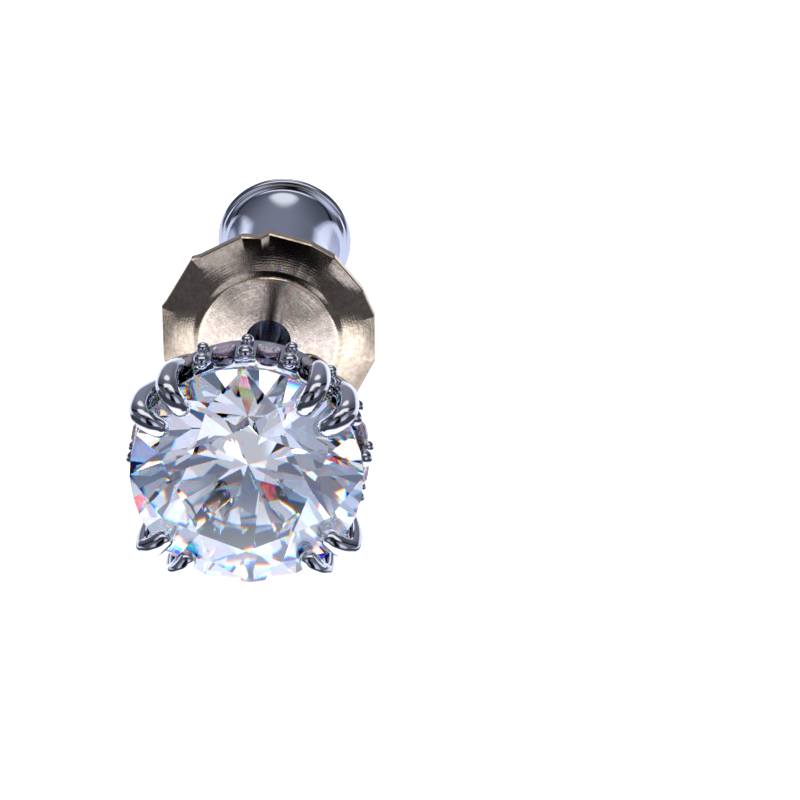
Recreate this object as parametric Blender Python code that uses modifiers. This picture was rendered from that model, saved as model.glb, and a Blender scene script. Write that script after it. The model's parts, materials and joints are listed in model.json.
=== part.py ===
"""A stud earring lying on its side: a claw set brilliant, a ring of small stones, a post and its clutch.

The earring is built round its own axis, which runs along +Y with the stone's table facing -Y, and its
girdle plane holds the axis origin. One empty then tilts the whole piece until it lies on the bottom bead of
the stone ring and on the rear edge of the clutch disc.
"""

import math

import bmesh
import bpy
from mathutils import Matrix, Vector
from mathutils.geometry import normal as plane_normal

MM = 0.001
MERGE_DISTANCE = 1e-7
CUT_DISTANCE = 1e-9

# Fits and running clearances
SEAT_GAP = 0.02 * MM
STONE_GAP = 0.03 * MM
BORE_GAP = 0.05 * MM
CULET_GAP = 0.28 * MM

# Centre stone, a round brilliant
STONE_DIAMETER = 7.5 * MM
GIRDLE_HEIGHT = 0.22 * MM
CROWN_ANGLE = math.radians(34.5)
PAVILION_ANGLE = math.radians(41.0)
TABLE_SHARE = 0.57
STAR_SHARE = 0.78
LOWER_HALF_SHARE = 0.25
STONE_SIDES = 32
STONE_SECTORS = 8

# Small stones of the ring
ACCENT_COUNT = 16
ACCENT_DIAMETER = 0.74 * MM
ACCENT_GIRDLE_HEIGHT = 0.04 * MM
ACCENT_PROUD = 0.02 * MM
ACCENT_SIDES = 16

# Ring that carries the small stones
RING_SET_BACK = 1.05 * MM
RING_WIDTH = 1.25 * MM
RING_WALL = 0.56 * MM
RING_INSET = 0.05 * MM
SCALLOP_SINK = 0.36 * MM
PEEP_DIAMETER = 0.36 * MM
FRONT_BEAD_DIAMETER = 0.57 * MM
REAR_BEAD_DIAMETER = 0.44 * MM
FRONT_BEAD_SINK = 0.02 * MM
FRONT_BEAD_OVERHANG = 0.08 * MM
REAR_BEAD_OVERHANG = 0.04 * MM
RING_SIDES = 48
RING_FACET_TURN = math.radians(1.9)
BEAD_FACET_TURN = math.radians(13.0)
SCALLOP_PAST = 0.05 * MM

# Claws, in pairs
CLAW_PAIRS = 4
CLAW_HALF_SPREAD = math.radians(8.8)
CLAW_WIRE_DIAMETER = 0.76 * MM
CLAW_TIP_DIAMETER = 0.66 * MM
CLAW_STEPS = 2
CLAW_SIDES = 8
CLAW_TIP_ANGLES = (25, 50, 72)
# Each row: place along the head's depth behind the girdle, radius as a share of the girdle's
CLAW_STEM = ((1.00, 0.650), (0.75, 0.835), (0.44, 0.978), (0.16, 1.072))
# Each row: place along the crown's height in front of the girdle, radius as a share of the girdle's
CLAW_HOOK = ((0.20, 1.090), (0.46, 1.058), (0.60, 0.985), (0.60, 0.895))

# Base of the setting and its post
BASE_THICKNESS = 0.50 * MM
BASE_RING_WIDTH = 0.66 * MM
BASE_CHAMFER = 0.07 * MM
BAR_WIDTH = 0.75 * MM
BAR_STEP = 0.06 * MM
BOSS_DIAMETER = 2.0 * MM
BOSS_HEIGHT = 0.20 * MM
POST_DIAMETER = 0.80 * MM
POST_LENGTH = 10.5 * MM
POST_SIDES = 16
# Each row: share of the post's radius, and how far that lies before its tip as a share of that radius
POST_NOSE = ((0, 0), (0.60, 0.15), (1, 0.70))
# How far the solder fillet at the post's root spreads on the boss, as a share of the boss's height
POST_FILLET_SHARE = 0.4

# Clutch: the disc that bears on the lobe, and the spool behind it
LOBE_GAP = 6.15 * MM
DISC_FLATS = 12
DISC_ACROSS_FLATS = 7.10 * MM
DISC_CORNER_CUT = 0.07 * MM
DISC_RIM = 0.55 * MM
DISC_DISH = 0.20 * MM
DISC_FACE_DIAMETER = 4.40 * MM
DISC_FILLET = 0.60 * MM
# Each row: share of the fillet's width outwards from the face, share of the dish's depth behind the face
DISC_FILLET_CURVE = ((1, 0.78), (0.55, 0.60), (0.20, 0.15), (0, 0))
DISC_BLANK_SHARE = 1.05
MOUTH_DIAMETER = 1.44 * MM
MOUTH_DEPTH = 0.60 * MM
SPOOL_LENGTH = 7.80 * MM
SPOOL_NECK_DIAMETER = 3.40 * MM
SPOOL_RIM_DIAMETER = 4.50 * MM
SPOOL_LIP_DIAMETER = 0.34 * MM
SPOOL_FLARE_LENGTH = 2.10 * MM
SPOOL_FLARE_STEPS = 5
SPOOL_LIP_STEPS = 6
CLUTCH_SIDES = 36

# How the earring lies: the head has rolled this far to the left, seen from the stone's side
HEAD_ROLL = math.radians(1.6)

# Worked out from the sizes above
STONE_RADIUS = STONE_DIAMETER / 2
CROWN_HEIGHT = GIRDLE_HEIGHT / 2 + STONE_RADIUS * (1 - TABLE_SHARE) * math.tan(CROWN_ANGLE)
CULET_DEPTH = GIRDLE_HEIGHT / 2 + STONE_RADIUS * math.tan(PAVILION_ANGLE)
BASE_FRONT = CULET_DEPTH + CULET_GAP
BASE_BACK = BASE_FRONT + BASE_THICKNESS
HEAD_DEPTH = BASE_FRONT + BASE_THICKNESS / 2
BASE_RING_RADIUS = CLAW_STEM[0][1] * STONE_RADIUS
RING_RADIUS = STONE_RADIUS - RING_INSET
RING_BACK = RING_SET_BACK + RING_WIDTH
ACCENT_DEPTH = RING_SET_BACK + RING_WIDTH / 2
ACCENT_RADIUS = ACCENT_DIAMETER / 2
POST_TIP = BASE_BACK + POST_LENGTH
DISC_FRONT = BASE_BACK + BOSS_HEIGHT + LOBE_GAP
DISC_BACK = DISC_FRONT + DISC_DISH + DISC_RIM
SPOOL_FRONT = DISC_BACK + SEAT_GAP
SPOOL_BACK = SPOOL_FRONT + SPOOL_LENGTH


def clear_scene():
    """Remove what the scene holds."""
    for obj in list(bpy.data.objects):
        bpy.data.objects.remove(obj, do_unlink=True)


def new_collection(name):
    """A collection in the scene."""
    collection = bpy.data.collections.new(name)
    bpy.context.scene.collection.children.link(collection)
    return collection


def new_material(name, colour, metallic, roughness, transmission=0.0, ior=1.5):
    """A Principled BSDF in one colour."""
    material = bpy.data.materials.new(name)
    material.use_nodes = True
    shader = material.node_tree.nodes["Principled BSDF"]
    shader.inputs["Base Color"].default_value = (*colour, 1.0)
    shader.inputs["Metallic"].default_value = metallic
    shader.inputs["Roughness"].default_value = roughness
    shader.inputs["Transmission Weight"].default_value = transmission
    shader.inputs["IOR"].default_value = ior
    return material


def place_object(obj, collection, parent, material=None):
    """Put an object in its collection under its parent. With no material it is a helper, not rendered."""
    collection.objects.link(obj)
    obj.parent = parent
    if not material:
        obj.hide_render = True
        obj.display_type = "WIRE"
    elif not obj.data.materials:
        obj.data.materials.append(material)
    return obj


def mesh_from_bmesh(name, bm):
    """A mesh that holds the bmesh, its faces turned outwards."""
    bmesh.ops.recalc_face_normals(bm, faces=bm.faces[:])
    mesh = bpy.data.meshes.new(name)
    bm.to_mesh(mesh)
    bm.free()
    return mesh


def object_from_bmesh(name, bm):
    """An object that holds the bmesh."""
    return bpy.data.objects.new(name, mesh_from_bmesh(name, bm))


def copies_of(mesh, name, matrices, collection, parent, material=None):
    """One object for each matrix, all sharing one mesh."""
    for number, matrix in enumerate(matrices, 1):
        obj = bpy.data.objects.new(f"{name}_{number:02d}", mesh)
        obj.matrix_basis = matrix
        place_object(obj, collection, parent, material)


def turned(name, profile, sides, closed, facet_turn=0.0):
    """A turned piece: the (radius, depth) profile goes round the earring's axis.

    The profile runs down the outer side, from the far end to the near one, and a closed one comes back up
    the bore. The facet turn keeps the facets' edges off the planes that what is set on it is symmetric about.
    """
    across, along = math.cos(facet_turn), math.sin(facet_turn)
    count = len(profile)
    mesh = bpy.data.meshes.new(name)
    edges = [(i, i + 1) for i in range(count - 1)]
    if closed:
        edges.append((count - 1, 0))
    mesh.from_pydata([(radius * across, radius * along, depth) for radius, depth in profile], edges, [])
    obj = bpy.data.objects.new(name, mesh)
    obj.rotation_euler.x = -math.pi / 2
    screw = obj.modifiers.new("Turn", "SCREW")
    screw.axis = "Z"
    screw.angle = 2 * math.pi
    screw.steps = screw.render_steps = sides
    screw.use_merge_vertices = True
    screw.merge_threshold = MERGE_DISTANCE
    screw.use_smooth_shade = False
    return obj


def add_boolean(obj, operation, collection):
    """Join or cut an object with all that a collection holds."""
    modifier = obj.modifiers.new(operation.title(), "BOOLEAN")
    modifier.operation = operation
    modifier.operand_type = "COLLECTION"
    modifier.collection = collection
    modifier.solver = "EXACT"


def around(angle, depth=0.0, radius=0.0):
    """The place at this angle from the top, this far behind the girdle plane and this far from the axis."""
    return Matrix.Rotation(angle, 4, "Y") @ Matrix.Translation((0, depth, radius))


def slice_off(bm, point, normal):
    """Cut away what lies in front of a plane, and close the cut with one flat facet."""
    geometry = bm.verts[:] + bm.edges[:] + bm.faces[:]
    cut = bmesh.ops.bisect_plane(
        bm, geom=geometry, dist=CUT_DISTANCE, plane_co=point, plane_no=normal, clear_outer=True
    )
    rim = [e for e in cut["geom_cut"] if isinstance(e, bmesh.types.BMEdge) and e.is_boundary]
    if len(rim) > 2:
        bmesh.ops.edgeloop_fill(bm, edges=rim)


def slice_through(bm, corners, clearance):
    """Cut the facet that lies through three corners, moved out by the clearance."""
    normal = plane_normal(corners)
    middle = (corners[0] + corners[1] + corners[2]) / 3
    if normal.dot(middle) < 0:
        normal.negate()
    slice_off(bm, corners[0] + normal * clearance, normal)


def ring_point(radius, angle, height):
    """A point at this radius and height, this far round the stone's axis."""
    return Vector((radius * math.sin(angle), radius * math.cos(angle), height))


def cut_stone(radius, girdle_height, sides, half_facets, clearance=0.0):
    """A round cut stone, table up, sliced from a cylinder. A clearance makes it the tool that cuts its seat.

    Each of its sectors has a main facet on the crown and on the pavilion. With half facets it also has
    two upper halves, a star and two lower halves, as on a full brilliant.
    """
    sector = 2 * math.pi / STONE_SECTORS
    half_girdle = girdle_height / 2
    crown_slope = math.tan(CROWN_ANGLE)
    pavilion_slope = math.tan(PAVILION_ANGLE)
    table_radius = radius * TABLE_SHARE
    table_height = half_girdle + (radius - table_radius) * crown_slope
    star_radius = radius * STAR_SHARE
    star_height = half_girdle + (radius - star_radius * math.cos(sector / 2)) * crown_slope
    lower_radius = radius * LOWER_HALF_SHARE
    lower_height = -half_girdle - (radius - lower_radius * math.cos(sector / 2)) * pavilion_slope
    bm = bmesh.new()
    bmesh.ops.create_cone(
        bm, cap_ends=True, segments=sides, radius1=radius + clearance, radius2=radius + clearance,
        depth=2 * radius,
    )
    slice_off(bm, Vector((0, 0, table_height + clearance)), Vector((0, 0, 1)))
    for k in range(STONE_SECTORS):
        middle = k * sector
        for side, slope in ((1, CROWN_ANGLE), (-1, PAVILION_ANGLE)):
            normal = ring_point(math.sin(slope), middle, side * math.cos(slope))
            slice_off(bm, ring_point(radius, middle, side * half_girdle) + normal * clearance, normal)
    for k in range(STONE_SECTORS if half_facets else 0):
        middle = k * sector
        star = ring_point(star_radius, middle + sector / 2, star_height)
        slice_through(bm, (ring_point(table_radius, middle, table_height),
                           ring_point(table_radius, middle + sector, table_height), star), clearance)
        for end in (middle, middle + sector):
            for height, far in ((half_girdle, star),
                                (-half_girdle, ring_point(lower_radius, middle + sector / 2, lower_height))):
                slice_through(bm, (ring_point(radius, end, height),
                                   ring_point(radius, middle + sector / 2, height), far), clearance)
    return bm


def make_centre_stone(collection, cutters, frame, material):
    """The large brilliant, and the enlarged copy of it that cuts its seat in the claws."""
    facing_front = Matrix.Rotation(math.pi / 2, 4, "X")
    for name, clearance, home, finish in (("centre_stone", 0.0, collection, material),
                                          ("centre_stone_seat", STONE_GAP, cutters, None)):
        bm = cut_stone(STONE_RADIUS, GIRDLE_HEIGHT, STONE_SIDES, True, clearance)
        bmesh.ops.transform(bm, matrix=facing_front, verts=bm.verts)
        place_object(object_from_bmesh(name, bm), home, frame, finish)


def accent_angles():
    """The angle of each small stone, with a pair of beads midway between any two."""
    pitch = 2 * math.pi / ACCENT_COUNT
    return [(k + 0.5) * pitch for k in range(ACCENT_COUNT)]


def make_accent_stones(collection, cutters, frame, material):
    """The small stones, tables facing outwards, and the enlarged copies that cut their seats."""
    places = [around(angle, ACCENT_DEPTH, RING_RADIUS + ACCENT_PROUD) for angle in accent_angles()]
    for name, clearance, home, finish in (("accent_stone", 0.0, collection, material),
                                          ("accent_seat", SEAT_GAP, cutters, None)):
        bm = cut_stone(ACCENT_RADIUS, ACCENT_GIRDLE_HEIGHT, ACCENT_SIDES, False, clearance)
        copies_of(mesh_from_bmesh(name, bm), name, places, home, frame, finish)


def make_stone_ring(joined, ring_cutters, frame):
    """The ring that carries the small stones: scalloped in front of each one and pierced behind it."""
    inner, outer = RING_RADIUS - RING_WALL, RING_RADIUS
    profile = [(outer, RING_BACK), (outer, RING_SET_BACK), (inner, RING_SET_BACK), (inner, RING_BACK)]
    ring = place_object(turned("stone_ring", profile, RING_SIDES, True, RING_FACET_TURN), joined, frame)
    half_facet = Matrix.Rotation(math.pi / ACCENT_SIDES, 4, "Z")
    scallop = bmesh.new()
    bmesh.ops.create_cone(
        scallop, cap_ends=True, segments=ACCENT_SIDES, radius1=ACCENT_RADIUS, radius2=ACCENT_RADIUS,
        depth=2 * (ACCENT_DEPTH - RING_SET_BACK + SCALLOP_PAST),
        matrix=Matrix.Rotation(math.pi / 2, 4, "X") @ half_facet,
    )
    peep = bmesh.new()
    bmesh.ops.create_cone(
        peep, cap_ends=True, segments=ACCENT_SIDES // 2, radius1=PEEP_DIAMETER / 2,
        radius2=PEEP_DIAMETER / 2, depth=2 * (RING_WALL + ACCENT_RADIUS), matrix=half_facet @ half_facet,
    )
    scallop_radius = RING_RADIUS - SCALLOP_SINK + ACCENT_RADIUS
    for name, bm, depth, radius in (("scallop", scallop, RING_SET_BACK, scallop_radius),
                                    ("peep", peep, ACCENT_DEPTH, inner)):
        places = [around(angle, depth, radius) for angle in accent_angles()]
        copies_of(mesh_from_bmesh(name, bm), name, places, ring_cutters, frame)
    add_boolean(ring, "DIFFERENCE", ring_cutters)


def bead_rows():
    """(name, diameter, depth, radius from the axis) of the front and rear beads, whose tops are level."""
    top = RING_RADIUS - FRONT_BEAD_SINK + FRONT_BEAD_DIAMETER / 2
    front_depth = RING_SET_BACK - FRONT_BEAD_OVERHANG + FRONT_BEAD_DIAMETER / 2
    rear_depth = RING_BACK + REAR_BEAD_OVERHANG - REAR_BEAD_DIAMETER / 2
    return (("front_bead", FRONT_BEAD_DIAMETER, front_depth, top - FRONT_BEAD_DIAMETER / 2),
            ("rear_bead", REAR_BEAD_DIAMETER, rear_depth, top - REAR_BEAD_DIAMETER / 2))


def make_beads(joined, frame):
    """Two round beads between each two small stones."""
    pitch = 2 * math.pi / ACCENT_COUNT
    for name, diameter, depth, radius in bead_rows():
        bm = bmesh.new()
        bmesh.ops.create_icosphere(
            bm, subdivisions=2, radius=diameter / 2, matrix=Matrix.Rotation(BEAD_FACET_TURN, 4, "Z")
        )
        places = [around(k * pitch, depth, radius) for k in range(ACCENT_COUNT)]
        copies_of(mesh_from_bmesh(name, bm), name, places, joined, frame)


def smooth_points(points, steps):
    """Points on the smooth curve through these ones (Catmull-Rom), with the ends kept."""
    padded = [2 * points[0] - points[1], *points, 2 * points[-1] - points[-2]]
    found = []
    for a, b, c, d in zip(padded, padded[1:], padded[2:], padded[3:]):
        for step in range(steps):
            t = step / steps
            found.append(
                b + 0.5 * t * ((c - a) + t * ((2 * a - 5 * b + 4 * c - d) + t * (3 * (b - c) + d - a)))
            )
    return [*found, points[-1]]


def claw_curve():
    """(centre, radius) along one claw that stands at the top, from its foot to its rounded tip."""
    stem = [Vector((0, depth * HEAD_DEPTH, share * STONE_RADIUS)) for depth, share in CLAW_STEM]
    hook = [Vector((0, -height * CROWN_HEIGHT, share * STONE_RADIUS)) for height, share in CLAW_HOOK]
    centres = smooth_points(stem + hook, CLAW_STEPS)
    thick, thin = CLAW_WIRE_DIAMETER / 2, CLAW_TIP_DIAMETER / 2
    taper_from = (len(CLAW_STEM) - 1) * CLAW_STEPS
    taper_over = len(centres) - 1 - taper_from
    stations = []
    for number, centre in enumerate(centres):
        share = max(0.0, (number - taper_from) / taper_over)
        stations.append((centre, thick + (thin - thick) * share))
    ahead = (centres[-1] - centres[-2]).normalized()
    for degrees in CLAW_TIP_ANGLES:
        angle = math.radians(degrees)
        stations.append((centres[-1] + ahead * thin * math.sin(angle), thin * math.cos(angle)))
    return stations


def wire_mesh(name, stations, sides):
    """A closed mesh of a round wire through (centre, radius) stations."""
    widest = max(radius for _, radius in stations)
    curve = bpy.data.curves.new(name, "CURVE")
    curve.dimensions = "3D"
    curve.bevel_depth = widest
    curve.bevel_resolution = sides // 2 - 2
    curve.use_fill_caps = True
    spline = curve.splines.new("POLY")
    spline.points.add(len(stations) - 1)
    for point, (centre, radius) in zip(spline.points, stations):
        point.co = (*centre, 1)
        point.radius = radius / widest
    guide = bpy.data.objects.new(name, curve)
    bpy.context.scene.collection.objects.link(guide)
    bpy.context.view_layer.update()
    evaluated = guide.evaluated_get(bpy.context.evaluated_depsgraph_get())
    mesh = bpy.data.meshes.new_from_object(evaluated)
    bpy.data.objects.remove(guide)
    bm = bmesh.new()
    bm.from_mesh(mesh)
    bmesh.ops.remove_doubles(bm, verts=bm.verts, dist=MERGE_DISTANCE)
    bmesh.ops.recalc_face_normals(bm, faces=bm.faces[:])
    bm.to_mesh(mesh)
    bm.free()
    return mesh


def make_claws(joined, frame):
    """The claws, two at each corner of the head."""
    mesh = wire_mesh("claw", claw_curve(), CLAW_SIDES)
    step = 2 * math.pi / CLAW_PAIRS
    places = [around((k + 0.5) * step + side * CLAW_HALF_SPREAD)
              for k in range(CLAW_PAIRS) for side in (-1, 1)]
    copies_of(mesh, "claw", places, joined, frame)


def make_base(joined, frame):
    """The ring at the claws' feet, and the bars across it that carry the post."""
    inner = BASE_RING_RADIUS - BASE_RING_WIDTH / 2
    outer = BASE_RING_RADIUS + BASE_RING_WIDTH / 2
    cut = BASE_CHAMFER
    profile = [(outer - cut, BASE_BACK), (outer, BASE_BACK - cut), (outer, BASE_FRONT + cut),
               (outer - cut, BASE_FRONT), (inner + cut, BASE_FRONT), (inner, BASE_FRONT + cut),
               (inner, BASE_BACK - cut), (inner + cut, BASE_BACK)]
    place_object(turned("base_ring", profile, RING_SIDES // 2, True), joined, frame)
    # Each bar is a little thinner than what it crosses, so that no two of their faces share a plane
    for k in range(2):
        bar = bmesh.new()
        thickness = BASE_THICKNESS - 2 * (k + 1) * BAR_STEP
        size = Matrix.Diagonal((BAR_WIDTH, thickness, 2 * BASE_RING_RADIUS, 1))
        bmesh.ops.create_cube(bar, size=1, matrix=size)
        copies_of(mesh_from_bmesh(f"cross_bar_{k}", bar), f"cross_bar_{k}",
                  [around((k + 0.5) * math.pi / 2, HEAD_DEPTH)], joined, frame)


def make_setting(collection, frame, cutters, joined, material):
    """The metal of the head and its post, as one solid: the post and its boss with all the rest joined on."""
    boss, post = BOSS_DIAMETER / 2, POST_DIAMETER / 2
    boss_back = BASE_BACK + BOSS_HEIGHT
    boss_front = BASE_FRONT + 3 * BAR_STEP
    nose = [(post * share, POST_TIP - post * before) for share, before in POST_NOSE]
    root = post + BOSS_HEIGHT * POST_FILLET_SHARE
    profile = [*nose, (post, boss_back + BOSS_HEIGHT), (root, boss_back), (boss, boss_back),
               (boss, boss_front), (0, boss_front)]
    setting = place_object(turned("setting", profile, POST_SIDES, False), collection, frame, material)
    add_boolean(setting, "UNION", joined)
    add_boolean(setting, "DIFFERENCE", cutters)


def disc_profile():
    """(radius, depth) round the disc's section, past its flats: back face, rim, fillet, face and mouth."""
    beyond = DISC_ACROSS_FLATS / 2 / math.cos(math.pi / DISC_FLATS) * DISC_BLANK_SHARE
    face, mouth = DISC_FACE_DIAMETER / 2, MOUTH_DIAMETER / 2
    fillet = [(face + DISC_FILLET * out, DISC_FRONT + DISC_DISH * down) for out, down in DISC_FILLET_CURVE]
    return [(beyond, DISC_BACK), (beyond, DISC_FRONT + DISC_DISH), *fillet, (mouth, DISC_FRONT),
            (mouth, DISC_BACK)]


def make_clutch_disc(collection, frame, material):
    """The turned disc, with twelve flats cut on its rim and each corner between them taken off."""
    blank = turned("clutch_disc", disc_profile(), CLUTCH_SIDES, True)
    bpy.context.scene.collection.objects.link(blank)
    bpy.context.view_layer.update()
    mesh = bpy.data.meshes.new_from_object(blank.evaluated_get(bpy.context.evaluated_depsgraph_get()))
    bpy.data.objects.remove(blank)
    bm = bmesh.new()
    bm.from_mesh(mesh)
    bpy.data.meshes.remove(mesh)
    bmesh.ops.rotate(bm, verts=bm.verts, matrix=Matrix.Rotation(-math.pi / 2, 3, "X"))
    apothem = DISC_ACROSS_FLATS / 2
    corner = apothem / math.cos(math.pi / DISC_FLATS) - DISC_CORNER_CUT
    step = 2 * math.pi / DISC_FLATS
    for k in range(DISC_FLATS):
        for angle, distance in ((k * step, apothem), ((k + 0.5) * step, corner)):
            outwards = Vector((math.sin(angle), 0, math.cos(angle)))
            slice_off(bm, outwards * distance, outwards)
    place_object(object_from_bmesh("clutch_disc", bm), collection, frame, material)


def spool_profile():
    """(radius, depth) round the spool's section: its rounded lip, the flare, the neck and up the bore."""
    lip, neck, mouth = SPOOL_LIP_DIAMETER / 2, SPOOL_NECK_DIAMETER / 2, MOUTH_DIAMETER / 2
    bore = (POST_DIAMETER / 2 + BORE_GAP) / math.cos(math.pi / CLUTCH_SIDES)
    centre = (SPOOL_RIM_DIAMETER / 2 - lip, SPOOL_BACK - lip)
    profile = []
    for step in range(SPOOL_LIP_STEPS + 1):
        angle = math.pi / 2 - math.pi * step / SPOOL_LIP_STEPS
        profile.append((centre[0] + lip * math.cos(angle), centre[1] + lip * math.sin(angle)))
    start = (centre[0] - lip, centre[1] - 2 * lip)
    end = (neck, SPOOL_BACK - SPOOL_FLARE_LENGTH)
    for step in range(SPOOL_FLARE_STEPS + 1):
        angle = math.pi / 2 * step / SPOOL_FLARE_STEPS
        profile.append((end[0] + (start[0] - end[0]) * (1 - math.sin(angle)),
                        start[1] + (end[1] - start[1]) * (1 - math.cos(angle))))
    return profile + [(neck, SPOOL_FRONT), (mouth, SPOOL_FRONT), (mouth, DISC_FRONT + MOUTH_DEPTH),
                      (bore, DISC_FRONT + MOUTH_DEPTH), (bore, SPOOL_BACK)]


def make_clutch_spool(collection, frame, material):
    """The spool that grips the post."""
    place_object(turned("clutch_spool", spool_profile(), CLUTCH_SIDES, True), collection, frame, material)


def rest_tilt():
    """How far the axis tips back when the earring lies on the bottom beads and on the disc's rear edge."""
    tilts = []
    for _, diameter, depth, radius in bead_rows():
        drop = radius * math.cos(HEAD_ROLL) - DISC_ACROSS_FLATS / 2
        reach = DISC_BACK - depth
        tilts.append(math.atan2(drop, reach) + math.asin(diameter / 2 / math.hypot(drop, reach)))
    return max(tilts)


def lay_down(frame, slide, collection):
    """Roll and tilt the earring to its resting pose, stand it on the ground and centre it on the origin.

    The clutch doesn't roll with the head, because it lies on one of its flats.
    """
    frame.rotation_mode = "YXZ"
    frame.rotation_euler = (-rest_tilt(), -HEAD_ROLL, 0)
    slide.rotation_euler.y = HEAD_ROLL
    bpy.context.view_layer.update()
    graph = bpy.context.evaluated_depsgraph_get()
    corners = []
    for obj in collection.objects:
        if obj.type == "MESH":
            evaluated = obj.evaluated_get(graph)
            corners += [evaluated.matrix_world @ v.co for v in evaluated.data.vertices]
    low = [min(corner[k] for corner in corners) for k in range(3)]
    high = [max(corner[k] for corner in corners) for k in range(3)]
    frame.location = (-(low[0] + high[0]) / 2, -(low[1] + high[1]) / 2, -low[2])


def main():
    """Build the stud earring."""
    clear_scene()
    parts = new_collection("stud_earring")
    cutters, ring_cutters, joined = (new_collection(n) for n in ("seats", "ring_cutters", "setting_metal"))
    frame = bpy.data.objects.new("earring_axis", None)
    parts.objects.link(frame)
    slide = bpy.data.objects.new("clutch_slide_axis", None)
    parts.objects.link(slide)
    slide.parent = frame
    stone = new_material("cubic_zirconia", (0.95, 0.96, 1.0), 0.0, 0.0, transmission=1.0, ior=2.15)
    plated = new_material("rhodium_plated_silver", (0.42, 0.43, 0.47), 1.0, 0.08)
    steel = new_material("turned_steel", (0.45, 0.41, 0.35), 1.0, 0.3)
    polished = new_material("polished_steel", (0.45, 0.46, 0.52), 1.0, 0.12)
    make_centre_stone(parts, cutters, frame, stone)
    make_accent_stones(parts, cutters, frame, stone)
    make_stone_ring(joined, ring_cutters, frame)
    make_beads(joined, frame)
    make_claws(joined, frame)
    make_base(joined, frame)
    make_setting(parts, frame, cutters, joined, plated)
    make_clutch_disc(parts, slide, steel)
    make_clutch_spool(parts, slide, polished)
    lay_down(frame, slide, parts)


main()
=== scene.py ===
"""The looks of a stud earring that lies on a white table.

It has a round brilliant in eight wire claws, a ring of small stones round the girdle, a post, and the
turned disc and polished spool of its clutch. Every piece is modelled along the earring's own axis, with
depth running back from the stone's girdle, and is then seated on that axis in the frame. The stones keep
their CAD meshes and only get their finish.
"""

import json
import logging
import math
from collections.abc import Callable, Sequence
from dataclasses import dataclass, field
from enum import Enum

import bmesh
import bpy
from mathutils import Euler, Matrix, Vector


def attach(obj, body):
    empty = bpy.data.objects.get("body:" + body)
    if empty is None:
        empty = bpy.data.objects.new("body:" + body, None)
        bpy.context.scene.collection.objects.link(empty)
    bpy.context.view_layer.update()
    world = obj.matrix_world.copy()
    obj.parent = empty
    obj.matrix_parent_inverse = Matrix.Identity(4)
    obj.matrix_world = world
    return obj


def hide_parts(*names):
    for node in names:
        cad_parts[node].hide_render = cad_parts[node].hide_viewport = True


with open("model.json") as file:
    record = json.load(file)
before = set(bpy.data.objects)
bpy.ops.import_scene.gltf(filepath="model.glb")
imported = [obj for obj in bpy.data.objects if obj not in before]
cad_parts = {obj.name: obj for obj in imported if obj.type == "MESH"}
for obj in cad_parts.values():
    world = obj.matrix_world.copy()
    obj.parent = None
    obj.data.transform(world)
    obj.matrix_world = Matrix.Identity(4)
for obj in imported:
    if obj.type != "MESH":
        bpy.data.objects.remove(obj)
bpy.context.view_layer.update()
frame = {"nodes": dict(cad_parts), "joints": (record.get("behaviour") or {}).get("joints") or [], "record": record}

LOG = logging.getLogger("stud_earring")
MM = 0.001
WELD = 1e-7
SLACK = 1e-6
NOTHING = 1e-12
SECTORS = 8
WHITE = "FFFFFF"

Profile = Sequence[tuple[float, float]]
Settings = dict[str | int, object]
Ramp = tuple[float, float, float, float]
Rows = tuple[tuple[object, ...], ...]


class Body(Enum):
    """The two bodies that the joint joins."""

    EARRING = "earring"
    CLUTCH = "clutch"


class Slot(Enum):
    """The record's material slots."""

    SETTING = "setting_metal"
    STONE = "centre_stone"
    ACCENTS = "accent_stones"
    DISC = "disc_steel"
    SPOOL = "spool_steel"


# The earring's axis and the finishes


@dataclass(frozen=True)
class EarringAxis:
    """The line through the stone and the post, and the place on it of the stone's girdle."""

    origin: Vector
    along: Vector

    @classmethod
    def from_frame(cls, base_back: float) -> "EarringAxis":
        """Read the axis off the frame.

        Args:
            base_back: Depth of the back of the setting's base, where the lobe's seat is measured.

        Returns:
            The axis, its origin in the stone's girdle plane.
        """
        along = Vector(frame["joints"][0]["axis"]).normalized()
        seat = next(m for m in frame["record"]["mounts"] if m["name"] == "lobe_seat")
        point = Vector((0.0, seat["pos_m"][1], seat["pos_m"][2]))
        return cls(point - along * base_back, along)

    @property
    def tilt(self) -> float:
        """The angle of the axis above the horizontal, which is negative because it dips to the back."""
        return math.asin(self.along.z)

    def matrix(self) -> Matrix:
        """The move from the earring's own frame, with depth along Y, to the row frame."""
        return Matrix.Translation(self.origin) @ Matrix.Rotation(self.tilt, 4, "X")


def linear(code: str) -> tuple[float, float, float, float]:
    """Turn an sRGB hex colour into linear values.

    Args:
        code: Six hex digits, with no mark before them.

    Returns:
        Red, green, blue and an alpha of 1.
    """
    shares = [int(code[k:k + 2], 16) / 255 for k in (0, 2, 4)]
    values = [s / 12.92 if s <= 0.04045 else ((s + 0.055) / 1.055) ** 2.4 for s in shares]
    return (*values, 1.0)


def add_node(tree: bpy.types.NodeTree, kind: str, inputs: Settings | None = None,
             **settings: object) -> bpy.types.Node:
    """Add one node with its settings and links.

    Args:
        tree: The node tree that it goes in.
        kind: The node's type.
        inputs: For each input's name or number, the value that it takes or the output that it is linked to.
        settings: The node's own properties.

    Returns:
        The node.
    """
    node = tree.nodes.new(kind)
    for name, value in settings.items():
        setattr(node, name, value)
    for key, value in (inputs or {}).items():
        if isinstance(value, bpy.types.NodeSocket):
            tree.links.new(value, node.inputs[key])
        else:
            node.inputs[key].default_value = value
    return node


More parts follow.
